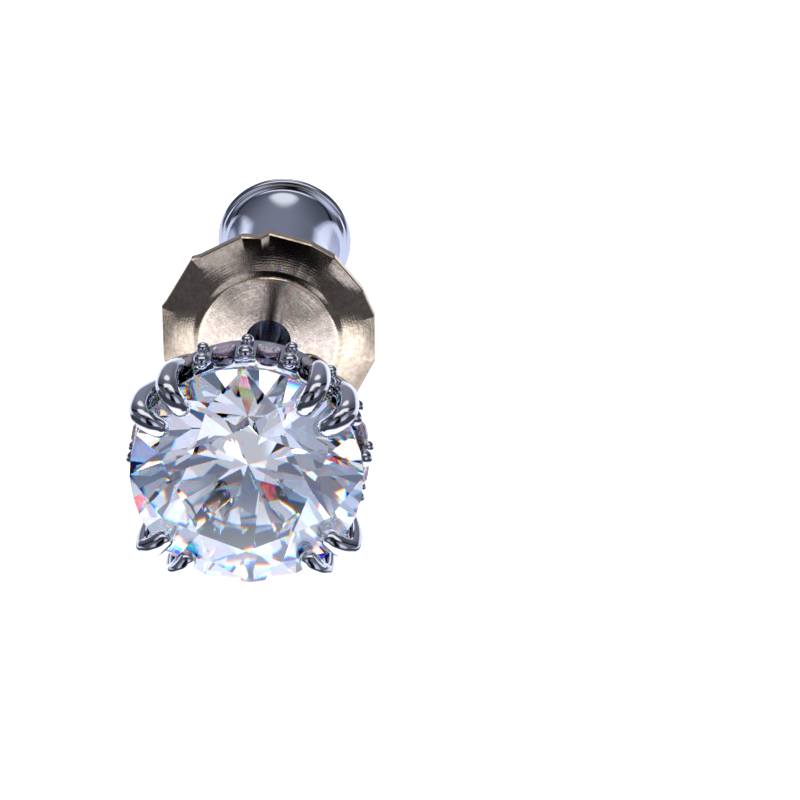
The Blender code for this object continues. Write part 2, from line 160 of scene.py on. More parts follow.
class Work(Enum):
    """A node that works out the light: its kind, its settings and the inputs that it takes in order."""

    ADD = ("ShaderNodeMath", {"operation": "ADD"}, (0, 1))
    TIMES = ("ShaderNodeMath", {"operation": "MULTIPLY"}, (0, 1))
    LEAST = ("ShaderNodeMath", {"operation": "MINIMUM"}, (0, 1))
    MOST = ("ShaderNodeMath", {"operation": "MAXIMUM"}, (0, 1))
    SIZE = ("ShaderNodeMath", {"operation": "ABSOLUTE"}, (0,))
    COSINE = ("ShaderNodeVectorMath", {"operation": "DOT_PRODUCT"}, (0, 1))
    RAMP = ("ShaderNodeMapRange", {"interpolation_type": "SMOOTHSTEP"}, (0, 1, 2, 3, 4))
    CHOICE = ("ShaderNodeMix", {"data_type": "FLOAT"}, (0, 2, 3))
    BLEND = ("ShaderNodeMix", {"data_type": "RGBA", "clamp_factor": False}, (0, 6, 7))
    GLAZE = ("ShaderNodeMix", {"data_type": "RGBA", "blend_type": "ADD"}, (0, 6, 7))


def add_rows(tree: bpy.types.NodeTree, made: dict[str, bpy.types.NodeSocket], rows: Rows) -> None:
    """Add the node of each row of a table, linked to those of earlier rows.

    Args:
        tree: The node tree that they go in.
        made: The outputs by name, to which each row's is added.
        rows: Each node's name, its work, and for each input a value or the name of an output.
    """
    for name, work, *inputs in rows:
        kind, settings, sockets = work.value
        sources = [made[source] if isinstance(source, str) else source for source in inputs]
        node = add_node(tree, kind, dict(zip(sockets, sources, strict=True)), **settings)
        made[name] = next(output for output in node.outputs if output.enabled)


def blank_material(name: str) -> tuple[bpy.types.Material, bpy.types.NodeTree]:
    """Make a material with an empty node tree.

    Args:
        name: The material's name.

    Returns:
        The material and its node tree.
    """
    material = bpy.data.materials.new(name)
    material.use_nodes = True
    material.node_tree.nodes.clear()
    return material, material.node_tree


def end_metal(tree: bpy.types.NodeTree, height: bpy.types.NodeSocket, height_mm: float,
              looks: Settings) -> None:
    """Raise a bare metal's surface a little, and link it to the material's output.

    Args:
        tree: The material's node tree.
        height: The pattern that the surface is raised by.
        height_mm: How high it is raised.
        looks: The shader's colour, roughness and other inputs.
    """
    bump = add_node(tree, "ShaderNodeBump", {
        "Height": height, "Distance": height_mm * MM, "Strength": 1.0,
    })
    shader = add_node(tree, "ShaderNodeBsdfPrincipled", {
        "Metallic": 1.0, "Normal": bump.outputs["Normal"], **looks,
    })
    add_node(tree, "ShaderNodeOutputMaterial", {"Surface": shader.outputs["BSDF"]})


def own_coordinates(tree: bpy.types.NodeTree, axis: EarringAxis) -> bpy.types.NodeSocket:
    """Give coordinates along the earring's own axis, in millimetres: X across, Y the depth and Z up.

    Args:
        tree: The material's node tree.
        axis: The earring's axis.

    Returns:
        The coordinates' output.
    """
    place = add_node(tree, "ShaderNodeTexCoord").outputs["Object"]
    return add_node(tree, "ShaderNodeMapping", {
        "Vector": place, "Location": axis.origin, "Rotation": (axis.tilt, 0.0, 0.0),
        "Scale": (MM, MM, MM),
    }, vector_type="TEXTURE").outputs["Vector"]


@dataclass(frozen=True)
class RhodiumPlate:
    """Cast silver, polished and plated with rhodium: a hard bluish mirror, a little wavy from the wheel."""

    axis: EarringAxis
    colour: str = "C9CBD3"
    roughness: float = 0.045
    wave_mm: float = 0.55
    wave_height_mm: float = 0.0010

    def material(self) -> bpy.types.Material:
        """Make the material."""
        material, tree = blank_material("rhodium_plated_silver")
        place = own_coordinates(tree, self.axis)
        waves = add_node(tree, "ShaderNodeTexNoise", {
            "Vector": place, "Scale": 1 / self.wave_mm, "Detail": 1.0,
        })
        end_metal(tree, waves.outputs["Fac"], self.wave_height_mm, {
            "Base Color": linear(self.colour), "Roughness": self.roughness,
        })
        return material


@dataclass(frozen=True)
class CutZirconia:
    """Cubic zirconia, cut and polished: clear, and it parts white light into colours as light goes in."""

    name: str
    colour: str = WHITE
    index: float = 2.15
    # Real zirconia parts red and blue by 0.06. Only light that enters is parted here, so it is parted more.
    spread: float = 0.09
    roughness: float = 0.0
    # How much of its light a small stone scatters, from polish left behind it in its seat
    cloud: float = 0.0
    cloud_colour: str = "E8DCE6"

    def material(self) -> bpy.types.Material:
        """Make the material."""
        material, tree = blank_material(self.name)
        red, green, blue, _ = linear(self.colour)
        inside = add_node(tree, "ShaderNodeBsdfGlass", {
            "Color": (red, green, blue, 1.0), "IOR": self.index, "Roughness": self.roughness,
        })
        parted = None
        parts = (((red, 0.0, 0.0, 1.0), -0.5), ((0.0, green, 0.0, 1.0), 0.0), ((0.0, 0.0, blue, 1.0), 0.5))
        for colour, step in parts:
            one = add_node(tree, "ShaderNodeBsdfGlass", {
                "Color": colour, "IOR": self.index + step * self.spread, "Roughness": self.roughness,
            }).outputs["BSDF"]
            parted = one if parted is None else add_node(
                tree, "ShaderNodeAddShader", {0: parted, 1: one}).outputs["Shader"]
        side = add_node(tree, "ShaderNodeNewGeometry").outputs["Backfacing"]
        both = add_node(tree, "ShaderNodeMixShader", {0: side, 1: parted, 2: inside.outputs["BSDF"]})
        surface = both.outputs["Shader"]
        if self.cloud:
            dull = add_node(tree, "ShaderNodeBsdfDiffuse", {"Color": linear(self.cloud_colour)})
            surface = add_node(tree, "ShaderNodeMixShader", {
                0: self.cloud, 1: surface, 2: dull.outputs["BSDF"],
            }).outputs["Shader"]
        add_node(tree, "ShaderNodeOutputMaterial", {"Surface": surface})
        return material


@dataclass(frozen=True)
class TurnedSteel:
    """Steel faced off in a lathe and a little tarnished: satin, with fine rings that spread its shine."""

    axis: EarringAxis
    pale: str = "DFCFB8"
    dull: str = "BDA98F"
    roughness: float = 0.105
    anisotropy: float = 0.3
    # The lathe's rings are 0.02 mm apart, too fine to show, so they are drawn coarser
    groove_mm: float = 0.07
    groove_height_mm: float = 0.0015
    blotch_mm: float = 0.16
    blotch_detail: float = 5.0
    blotch_roughness: float = 0.65
    grain_mm: float = 0.06
    # The blotches' values between which dull turns to pale, and rough to smooth
    dull_to_pale: tuple[float, float] = (0.35, 0.65)
    rough_to_smooth: tuple[float, float] = (0.3, 0.7)
    roughness_shares: tuple[float, float] = (1.25, 0.8)

    def material(self) -> bpy.types.Material:
        """Make the material."""
        material, tree = blank_material("turned_steel")
        place = own_coordinates(tree, self.axis)
        across = add_node(tree, "ShaderNodeVectorMath", {
            0: place, 1: (1.0, 0.0, 1.0),
        }, operation="MULTIPLY")
        radius = add_node(tree, "ShaderNodeVectorMath", {0: across.outputs[0]}, operation="LENGTH")
        outwards = add_node(tree, "ShaderNodeVectorMath", {0: across.outputs[0]}, operation="NORMALIZE")
        grooves = add_node(tree, "ShaderNodeTexNoise", {
            "W": radius.outputs["Value"], "Scale": 1 / self.groove_mm, "Detail": 2.0,
        }, noise_dimensions="1D")
        blotches = add_node(tree, "ShaderNodeTexNoise", {
            "Vector": place, "Scale": 1 / self.blotch_mm, "Detail": self.blotch_detail,
            "Roughness": self.blotch_roughness,
        })
        grain = add_node(tree, "ShaderNodeTexNoise", {
            "Vector": place, "Scale": 1 / self.grain_mm, "Detail": 1.0,
        })
        dull, pale = self.dull_to_pale
        shares = add_node(tree, "ShaderNodeMapRange", {
            "Value": blotches.outputs["Fac"], "From Min": dull, "From Max": pale,
        })
        colour = add_node(tree, "ShaderNodeMix", {
            0: shares.outputs["Result"], 6: linear(self.dull), 7: linear(self.pale),
        }, data_type="RGBA")
        (rough_at, smooth_at), (most, least) = self.rough_to_smooth, self.roughness_shares
        rough = add_node(tree, "ShaderNodeMapRange", {
            "Value": blotches.outputs["Fac"], "From Min": rough_at, "From Max": smooth_at,
            "To Min": self.roughness * most, "To Max": self.roughness * least,
        })
        height = add_node(tree, "ShaderNodeMath", {
            0: grooves.outputs["Fac"], 1: grain.outputs["Fac"],
        }, operation="ADD")
        end_metal(tree, height.outputs[0], self.groove_height_mm, {
            "Base Color": colour.outputs[2], "Roughness": rough.outputs["Result"],
            "Anisotropic": self.anisotropy, "Tangent": outwards.outputs[0],
        })
        return material


@dataclass(frozen=True)
class PolishedSteel:
    """Stainless steel polished on the lathe: a cool soft mirror with faint rings left by the cloth."""

    axis: EarringAxis
    colour: str = "BCC0CE"
    roughness: float = 0.11
    ring_mm: float = 0.16
    ring_height_mm: float = 0.0012

    def material(self) -> bpy.types.Material:
        """Make the material."""
        material, tree = blank_material("polished_steel")
        place = own_coordinates(tree, self.axis)
        depth = add_node(tree, "ShaderNodeSeparateXYZ", {0: place}).outputs["Y"]
        rings = add_node(tree, "ShaderNodeTexNoise", {
            "W": depth, "Scale": 1 / self.ring_mm, "Detail": 2.0,
        }, noise_dimensions="1D")
        end_metal(tree, rings.outputs["Fac"], self.ring_height_mm, {
            "Base Color": linear(self.colour), "Roughness": self.roughness,
        })
        return material


# Ways of making a mesh


def softened(corners: Profile, radius: float, steps: int = 3) -> list[tuple[float, float]]:
    """Round the corners of a closed profile.

    Args:
        corners: The profile's (radius, depth) corners, in order.
        radius: How far the rounding reaches from each corner.
        steps: How many edges each rounding has.

    Returns:
        The profile with its corners rounded.
    """
    found = []
    points = [Vector(corner) for corner in corners]
    for before, corner, after in zip([points[-1], *points], points, [*points[1:], points[0]]):
        reach = min(radius, (before - corner).length / 2, (after - corner).length / 2)
        start = corner + (before - corner).normalized() * reach
        end = corner + (after - corner).normalized() * reach
        for step in range(steps + 1):
            t = step / steps
            point = start * (1 - t) ** 2 + corner * 2 * t * (1 - t) + end * t ** 2
            found.append((point.x, point.y))
    return found


def turned(profile: Profile, steps: int, closed: bool = True) -> bmesh.types.BMesh:
    """Turn a profile round the earring's axis, as eight spun sectors that are welded together.

    Args:
        profile: The (radius, depth) points. An open one starts and ends on the axis.
        steps: How many steps go round, a multiple of eight.
        closed: Whether the last point joins the first.

    Returns:
        The turned mesh.
    """
    sector = bmesh.new()
    verts = [sector.verts.new((0.0, depth, radius)) for radius, depth in profile]
    following = [*verts[1:], verts[0]] if closed else verts[1:]
    edges = [sector.edges.new(pair) for pair in zip(verts, following)]
    bmesh.ops.spin(
        sector, geom=[*verts, *edges], cent=(0, 0, 0), axis=(0, 1, 0), angle=2 * math.pi / SECTORS,
        steps=steps // SECTORS,
    )
    bm = bmesh.new()
    for k in range(SECTORS):
        join(bm, sector, around(k * 2 * math.pi / SECTORS))
    sector.free()
    bmesh.ops.remove_doubles(bm, verts=bm.verts, dist=WELD)
    return bm


def around(angle: float, depth: float = 0.0, radius: float = 0.0) -> Matrix:
    """The place at this angle from the top, at this depth and this far from the axis."""
    return Matrix.Rotation(angle, 4, "Y") @ Matrix.Translation((0, depth, radius))


def smooth_points(points: Sequence[Vector], steps: int) -> list[Vector]:
    """Find points on the smooth curve through these ones.

    Args:
        points: The points that the curve goes through.
        steps: How many steps it takes from each to the next.

    Returns:
        The points along the curve, with both ends kept.
    """
    padded = [2 * points[0] - points[1], *points, 2 * points[-1] - points[-2]]
    found = []
    for a, b, c, d in zip(padded, padded[1:], padded[2:], padded[3:]):
        for step in range(steps):
            t = step / steps
            bend = 2 * a - 5 * b + 4 * c - d + t * (3 * (b - c) + d - a)
            found.append(b + 0.5 * t * (c - a + t * bend))
    return [*found, points[-1]]


def wire(stations: Sequence[tuple[Vector, float]], sides: int) -> bmesh.types.BMesh:
    """Extrude a round wire through stations that lie in the plane of depth and height.

    Args:
        stations: The (centre, radius) of each section.
        sides: How many sides the wire has.

    Returns:
        The closed wire.
    """
    bm = bmesh.new()
    verts = bmesh.ops.create_circle(bm, segments=sides, radius=1.0)["verts"]
    edges = list(bm.edges)
    last = Matrix.Identity(4)
    centres = [centre for centre, _ in stations]
    for number, (centre, radius) in enumerate(stations):
        heading = centres[min(number + 1, len(centres) - 1)] - centres[max(number - 1, 0)]
        turn = Matrix.Rotation(math.atan2(-heading.y, heading.z), 4, "X")
        place = Matrix.Translation(centre) @ turn @ Matrix.Diagonal((radius, radius, radius, 1))
        if number:
            new = bmesh.ops.extrude_edge_only(bm, edges=edges)["geom"]
            verts = [g for g in new if isinstance(g, bmesh.types.BMVert)]
            edges = [g for g in new if isinstance(g, bmesh.types.BMEdge)]
            edges = [e for e in edges if all(v in verts for v in e.verts)]
        bmesh.ops.transform(bm, matrix=place @ last.inverted(), verts=verts)
        last = place
    bmesh.ops.holes_fill(bm, edges=[e for e in bm.edges if e.is_boundary])
    return bm


def join(target: bmesh.types.BMesh, source: bmesh.types.BMesh, matrix: Matrix) -> None:
    """Add a copy of one mesh to another.

    Args:
        target: The mesh that gains the copy.
        source: The mesh that is copied.
        matrix: The copy's place.
    """
    mesh = bpy.data.meshes.new("copy")
    source.to_mesh(mesh)
    mesh.transform(matrix)
    target.from_mesh(mesh)
    bpy.data.meshes.remove(mesh)


@dataclass
class SubAssembly:
    """What every sub-assembly shares: its axis, its roll about it, and how a finished piece is placed."""

    axis: EarringAxis
    roll: float = 0.0
    made: list[str] = field(default_factory=list, init=False)

    def add_piece(self, name: str, bm: bmesh.types.BMesh, material: bpy.types.Material, body: Body,
                  slot: Slot, replaces: str, sharp: float = 35.0) -> bpy.types.Object:
        """Seat a mesh on the earring's axis and make it a piece.

        Args:
            name: The piece's name.
            bm: The mesh, in the earring's own frame. It is freed.
            material: The piece's material.
            body: The body that it rides on.
            slot: The record's material slot. Not used.
            replaces: The CAD node that it stands for.
            sharp: Edges that turn by more than this many degrees stay sharp.

        Returns:
            The piece's object.
        """
        bmesh.ops.recalc_face_normals(bm, faces=bm.faces[:])
        place = self.axis.matrix() @ Matrix.Rotation(self.roll, 4, "Y")
        bmesh.ops.transform(bm, matrix=place, verts=bm.verts)
        mesh = bpy.data.meshes.new(name)
        bm.to_mesh(mesh)
        bm.free()
        mesh.shade_smooth()
        mesh.set_sharp_from_angle(angle=math.radians(sharp))
        mesh.materials.append(material)
        piece = bpy.data.objects.new(name, mesh)
        bpy.context.scene.collection.objects.link(piece)
        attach(piece, body.value)
        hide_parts(replaces)
        self.made.append(name)
        LOG.info("%s: %d faces", name, len(mesh.polygons))
        return piece


# The stones, which keep their CAD meshes


@dataclass
class Stones(SubAssembly):
    """The round brilliant and the sixteen small stones of the ring."""

    accent_count: int = 16

    def build(self) -> None:
        """Dress the stones' CAD nodes."""
        self.dress(["centre_stone"], CutZirconia("cut_zirconia", index=2.16), Slot.STONE)
        accents = [f"accent_stone_{k:02d}" for k in range(1, self.accent_count + 1)]
        small = CutZirconia("small_cut_zirconia", colour="F6F0F6", cloud=0.2)
        self.dress(accents, small, Slot.ACCENTS)

    def dress(self, names: Sequence[str], finish: CutZirconia, slot: Slot) -> None:
        """Give CAD nodes a finish.

        Args:
            names: The nodes' names.
            finish: Their finish.
            slot: Their slot in the record. Not used.
        """
        material = finish.material()
        for name in names:
            node = frame["nodes"][name]
            node.data.materials.clear()
            node.data.materials.append(material)
            self.made.append(name)
        LOG.info("%s: %d stones dressed", material.name, len(names))


# The setting


@dataclass
class Setting(SubAssembly):
    """The plated metal: claws, the ring that carries the small stones, its beads, the base and the post."""

    roll: float = math.radians(-1.6)
    stone_radius: float = 3.75 * MM
    crown_height: float = 1.2182 * MM
    head_depth: float = 3.8998 * MM
    base_front: float = 3.6498 * MM
    base_back: float = 4.1498 * MM
    claw_pairs: int = 4
    claw_half_spread: float = math.radians(8.8)
    claw_radius: float = 0.375 * MM
    claw_tip_radius: float = 0.325 * MM
    claw_steps: int = 9
    claw_sides: int = 28
    # The claw's curve: shares of the head's depth and the stone's radius behind the girdle, then shares of
    # the crown's height and the stone's radius in front of it
    claw_stem: Profile = ((1.00, 0.650), (0.75, 0.835), (0.44, 0.978), (0.16, 1.072))
    claw_hook: Profile = ((0.28, 1.089), (0.53, 1.040), (0.61, 0.965), (0.57, 0.890))
    claw_tip_degrees: tuple[int, ...] = (12, 24, 36, 48, 60, 72, 82)
    ring_radius: float = 3.70 * MM
    ring_wall: float = 0.56 * MM
    ring_front: float = 1.05 * MM
    ring_width: float = 1.25 * MM
    ring_rounding: float = 0.06 * MM
    ring_rows: int = 36
    ring_steps: int = 768
    accent_count: int = 16
    accent_radius: float = 0.37 * MM
    scallop_sink: float = 0.30 * MM
    scallop_room: float = 1.04
    scallop_wall_share: float = 0.6
    scallop_flatness: float = 3.0
    front_bead_radius: float = 0.285 * MM
    rear_bead_radius: float = 0.22 * MM
    front_bead_sink: float = 0.02 * MM
    front_bead_overhang: float = 0.08 * MM
    rear_bead_overhang: float = 0.04 * MM
    bead_segments: int = 28
    bead_rings: int = 18
    base_ring_radius: float = 2.4375 * MM
    base_ring_width: float = 0.66 * MM
    base_rounding: float = 0.10 * MM
    base_steps: int = 144
    bar_width: float = 0.75 * MM
    bar_set_back: float = 0.12 * MM
    small_rounding: float = 0.05 * MM
    root_rounding: float = 0.02 * MM
    boss_radius: float = 1.0 * MM
    boss_height: float = 0.20 * MM
    post_radius: float = 0.40 * MM
    post_length: float = 10.5 * MM
    post_steps: int = 64
    nose_share: float = 0.7
    nose_steps: int = 7
    root_share: float = 0.4
    boss_inset: float = 0.18 * MM

    def build(self) -> None:
        """Build and dress every piece of the setting."""
        material = RhodiumPlate(self.axis).material()
        pieces: dict[str, Callable[[], bmesh.types.BMesh]] = {
            "claws": self.claws, "stone_ring": self.stone_ring, "beads": self.beads,
            "base_ring": self.base_ring, "cross_bars": self.cross_bars, "post": self.post,
        }
        for name, make in pieces.items():
            self.add_piece(name, make(), material, Body.EARRING, Slot.SETTING, "setting")

    def claw_stations(self) -> list[tuple[Vector, float]]:
        """Find the sections of one claw that stands at the top, from its foot to its rounded tip."""
        behind = [(depth * self.head_depth, share) for depth, share in self.claw_stem]
        ahead = [(-height * self.crown_height, share) for height, share in self.claw_hook]
        points = [Vector((0, depth, share * self.stone_radius)) for depth, share in (*behind, *ahead)]
        centres = smooth_points(points, self.claw_steps)
        taper_from = (len(self.claw_stem) - 1) * self.claw_steps
        stations = []
        for number, centre in enumerate(centres):
            share = max(0.0, (number - taper_from) / (len(centres) - 1 - taper_from))
            stations.append((centre, self.claw_radius + (self.claw_tip_radius - self.claw_radius) * share))
        heading = (centres[-1] - centres[-2]).normalized()
        for degrees in self.claw_tip_degrees:
            angle = math.radians(degrees)
            reach = self.claw_tip_radius * math.sin(angle)
            stations.append((centres[-1] + heading * reach, self.claw_tip_radius * math.cos(angle)))
        return stations

    def claws(self) -> bmesh.types.BMesh:
        """Make the eight claws, two at each corner of the head."""
        one = wire(self.claw_stations(), self.claw_sides)
        bm = bmesh.new()
        step = 2 * math.pi / self.claw_pairs
        for k in range(self.claw_pairs):
            for side in (-1, 1):
                join(bm, one, around((k + 0.5) * step + side * self.claw_half_spread))
        one.free()
        return bm

    def scalloped(self, point: Vector) -> Vector:
        """Find where a point of the ring goes when the hollow for each small stone is scooped out of it.

        Args:
            point: The point on the plain ring.

        Returns:
            Its place on the scalloped ring.
        """
        pitch = 2 * math.pi / self.accent_count
        angle = math.atan2(point.x, point.z)
        radius = math.hypot(point.x, point.z)
        sideways = ((angle / pitch) % 1.0 - 0.5) * pitch * self.ring_radius
        behind = point.y - (self.ring_front + self.ring_width / 2)
        away = math.hypot(sideways, max(behind, 0.0)) / (self.accent_radius * self.scallop_room)
        if away >= 1 or radius < self.ring_radius - self.ring_wall * self.scallop_wall_share:
            return point
        sunk = self.scallop_sink * (1 - away ** self.scallop_flatness) ** 0.5
        radius = min(radius, self.ring_radius - sunk)
        return Vector((radius * math.sin(angle), point.y, radius * math.cos(angle)))

    def stone_ring(self) -> bmesh.types.BMesh:
        """Make the ring that carries the small stones, scooped out in front of each one."""
        inner, outer = self.ring_radius - self.ring_wall, self.ring_radius
        front, back = self.ring_front, self.ring_front + self.ring_width
        rows = self.ring_rows
        top = [(outer, front + (back - front) * k / rows) for k in range(1, rows)]
        corners = [(outer, back), (inner, back), (inner, front), (outer, front)]
        profile = softened(corners, self.ring_rounding)
        bm = turned([*top, *profile], self.ring_steps)
        for vert in bm.verts:
            vert.co = self.scalloped(vert.co)
        return bm

    def beads(self) -> bmesh.types.BMesh:
        """Make the two round beads between each two small stones."""
        bm = bmesh.new()
        top = self.ring_radius - self.front_bead_sink + self.front_bead_radius
        front = self.ring_front - self.front_bead_overhang + self.front_bead_radius
        rear = self.ring_front + self.ring_width + self.rear_bead_overhang - self.rear_bead_radius
        pitch = 2 * math.pi / self.accent_count
        for depth, radius in ((front, self.front_bead_radius), (rear, self.rear_bead_radius)):
            one = bmesh.new()
            bmesh.ops.create_uvsphere(
                one, u_segments=self.bead_segments, v_segments=self.bead_rings, radius=radius,
            )
            for k in range(self.accent_count):
                join(bm, one, around(k * pitch, depth, top - radius))
            one.free()
        return bm

    def base_ring(self) -> bmesh.types.BMesh:
        """Make the ring at the claws' feet."""
        inner = self.base_ring_radius - self.base_ring_width / 2
        outer = self.base_ring_radius + self.base_ring_width / 2
        corners = [(outer, self.base_back), (inner, self.base_back), (inner, self.base_front),
                   (outer, self.base_front)]
        return turned(softened(corners, self.base_rounding), self.base_steps)

    def cross_bars(self) -> bmesh.types.BMesh:
        """Make the two bars that cross the base ring."""
        bm = bmesh.new()
        thickness = self.base_back - self.base_front - self.bar_set_back
        size = Matrix.Diagonal((self.bar_width, thickness, 2 * self.base_ring_radius, 1))
        for k in range(2):
            place = around((k + 0.5) * math.pi / 2, (self.base_front + self.base_back) / 2)
            bmesh.ops.create_cube(bm, size=1, matrix=place @ size)
        bmesh.ops.bevel(
            bm, geom=bm.edges[:], offset=self.small_rounding, segments=3, profile=0.5, affect="EDGES",
            material=-1,
        )
        return bm

    def post(self) -> bmesh.types.BMesh:
        """Make the boss and the post with its rounded nose."""
        tip = self.base_back + self.post_length
        boss_back = self.base_back + self.boss_height
        nose = self.post_radius
        profile = [(0.0, tip)]
        for step in range(1, self.nose_steps + 1):
            angle = math.pi / 2 * step / self.nose_steps
            drop = self.nose_share * nose * (1 - math.cos(angle))
            profile.append((nose * math.sin(angle), tip - drop))
        root = self.post_radius + self.boss_height * self.root_share
        rounding, boss_front = self.small_rounding, self.base_front + self.boss_inset
        profile += [(self.post_radius, boss_back + self.boss_height),
                    (root, boss_back + self.root_rounding),
                    (self.boss_radius - rounding, boss_back), (self.boss_radius, boss_back - rounding),
                    (self.boss_radius, boss_front), (0.0, boss_front)]
        return turned(profile, self.post_steps, closed=False)


# The clutch


@dataclass
class ClutchDisc(SubAssembly):
    """The turned disc that bears on the lobe: a flat face, a soft step round it and a worn dome."""

    front: float = 10.4998 * MM
    back: float = 11.2498 * MM
    face_radius: float = 2.20 * MM
    step_width: float = 0.34 * MM
    step_slope: float = 0.30
    rim_radius: float = 3.60 * MM
    shoulder_slope: float = 0.25
    rim_slope: float = 0.34
    shaped_from: float = 3.15 * MM
    edge: float = 0.035 * MM
    mouth_radius: float = 0.72 * MM
    rings: int = 44
    steps: int = 720
    sharp: float = 25.0
    # The rim's corners in degrees from the top and millimetres: uneven where it is worn
    worn_corners: Profile = (
        (-105.0, 3.63), (-75.0, 3.68), (-71.5, 3.60), (-43.5, 3.71), (-39.5, 3.60), (-14.0, 3.65),
        (-4.0, 3.53), (0.7, 3.68), (23.0, 3.60), (37.0, 3.60), (61.0, 3.56), (77.0, 3.60), (103.0, 3.61),
    )
    # The corners round the bottom, where it lies, are true twelfths with a small flat cut at each
    true_corners: tuple[float, ...] = (135.0, 165.0, 195.0, 225.0)
    true_corner_half_width: float = 4.14
    true_corner_reach: float = 3.6147

    def build(self) -> None:
        """Build and dress the disc."""
        material = TurnedSteel(self.axis).material()
        self.add_piece("clutch_disc_turned", self.disc(), material, Body.CLUTCH, Slot.DISC,
                       "clutch_disc", self.sharp)

    def face_depth(self, radius: float) -> float:
        """Find how deep the front lies at a radius: flat, then a soft step back, then the dome."""
        shoulder = self.face_radius + self.step_width
        if radius <= self.face_radius:
            return self.front
        t = min(1.0, (radius - self.face_radius) / self.step_width)
        step = self.step_slope * self.step_width * (t - math.sin(2 * math.pi * t) / (2 * math.pi)) / 2
        depth = self.front + step + self.shoulder_slope * self.step_width * t ** 2 / 2
        if radius <= shoulder:
            return depth
        past = radius - shoulder
        bend = (self.rim_slope - self.shoulder_slope) / (self.rim_radius - shoulder) / 2
        return depth + self.shoulder_slope * past + bend * past ** 2

    def outline(self) -> list[tuple[float, float]]:
        """The rim's corners as (degrees from the top, radius)."""
        width = self.true_corner_half_width
        true = [(at + side * width, self.true_corner_reach) for at in self.true_corners for side in (-1, 1)]
        return [(degrees, radius * MM) for degrees, radius in (*self.worn_corners, *true)]

    def reach(self, angle: float) -> float:
        """Find how far the rim reaches at an angle.

        Args:
            angle: The angle from the top, towards the right as the stone's face is seen.

        Returns:
            The distance from the axis to the straight flat there.
        """
        corners = []
        for degrees, radius in self.outline():
            at = math.radians(degrees)
            corners.append(Vector((math.sin(at), math.cos(at))) * radius)
        way = Vector((math.sin(angle), math.cos(angle)))
        for here, there in zip(corners, [*corners[1:], corners[0]]):
            flat = there - here
            across = way.x * flat.y - way.y * flat.x
            if abs(across) < NOTHING:
                continue
            share = (here.x * way.y - here.y * way.x) / across
            distance = (here.x * flat.y - here.y * flat.x) / across
            if distance > 0 and -SLACK <= share <= 1 + SLACK:
                return distance
        return self.rim_radius

    def disc(self) -> bmesh.types.BMesh:
        """Turn the disc, then draw its rim in or out to the flats."""
        rim, edge, mouth = self.rim_radius, self.edge, self.mouth_radius
        front = self.face_depth(rim)
        profile = [(rim - edge, self.back), (rim, self.back - edge), (rim, front + edge)]
        for k in range(self.rings + 1):
            radius = rim - edge + (mouth + edge - rim + edge) * k / self.rings
            profile.append((radius, self.face_depth(radius)))
        profile += [(mouth, self.front + edge), (mouth, self.back)]
        bm = turned(profile, self.steps)
        found: dict[int, float] = {}
        for vert in bm.verts:
            radius = math.hypot(vert.co.x, vert.co.z)
            if radius <= self.shaped_from:
                continue
            angle = math.atan2(vert.co.x, vert.co.z)
            step = round(angle / (2 * math.pi) * self.steps)
            if step not in found:
                found[step] = self.reach(angle)
            share = (radius - self.shaped_from) / (rim - self.shaped_from)
            wanted = self.shaped_from + (found[step] - self.shaped_from) * share
            vert.co.x *= wanted / radius
            vert.co.z *= wanted / radius
        return bm


@dataclass
class ClutchSpool(SubAssembly):
    """The polished spool that grips the post, with its flared and rounded lip."""

    front: float = 11.2698 * MM
    back: float = 19.0698 * MM
    neck_radius: float = 1.70 * MM
    rim_radius: float = 2.25 * MM
    lip_radius: float = 0.17 * MM
    flare: float = 2.10 * MM
    bore_radius: float = 0.45 * MM
    mouth_radius: float = 0.72 * MM
    disc_front: float = 10.4998 * MM
    mouth_depth: float = 2.60 * MM
    lip_steps: int = 16
    flare_steps: int = 24
    flare_inset: float = 0.4
    flare_drop: float = 1.3
    steps: int = 144
    sharp: float = 30.0

    def build(self) -> None:
        """Build and dress the spool."""
        material = PolishedSteel(self.axis).material()
        self.add_piece("clutch_spool_turned", self.spool(), material, Body.CLUTCH, Slot.SPOOL,
                       "clutch_spool", self.sharp)

    def spool(self) -> bmesh.types.BMesh:
        """Make the spool: its lip, the hollow flare, the neck and the stepped bore."""
        centre = (self.rim_radius - self.lip_radius, self.back - self.lip_radius)
        profile = []
        for step in range(self.lip_steps + 1):
            angle = math.pi / 2 - math.pi * step / self.lip_steps
            profile.append((centre[0] + self.lip_radius * math.cos(angle),
                            centre[1] + self.lip_radius * math.sin(angle)))
        start = (centre[0] - self.flare_inset * self.lip_radius,
                 centre[1] - self.flare_drop * self.lip_radius)
        end = (self.neck_radius, self.back - self.flare)
        for step in range(self.flare_steps + 1):
            angle = math.pi / 2 * step / self.flare_steps
            profile.append((end[0] + (start[0] - end[0]) * (1 - math.sin(angle)),
                            start[1] + (end[1] - start[1]) * (1 - math.cos(angle))))
        seat = self.disc_front + self.mouth_depth
        profile += [(self.neck_radius, self.front), (self.mouth_radius, self.front),
                    (self.mouth_radius, seat), (self.bore_radius, seat), (self.bore_radius, self.back)]
        return turned(profile, self.steps)


# The studio


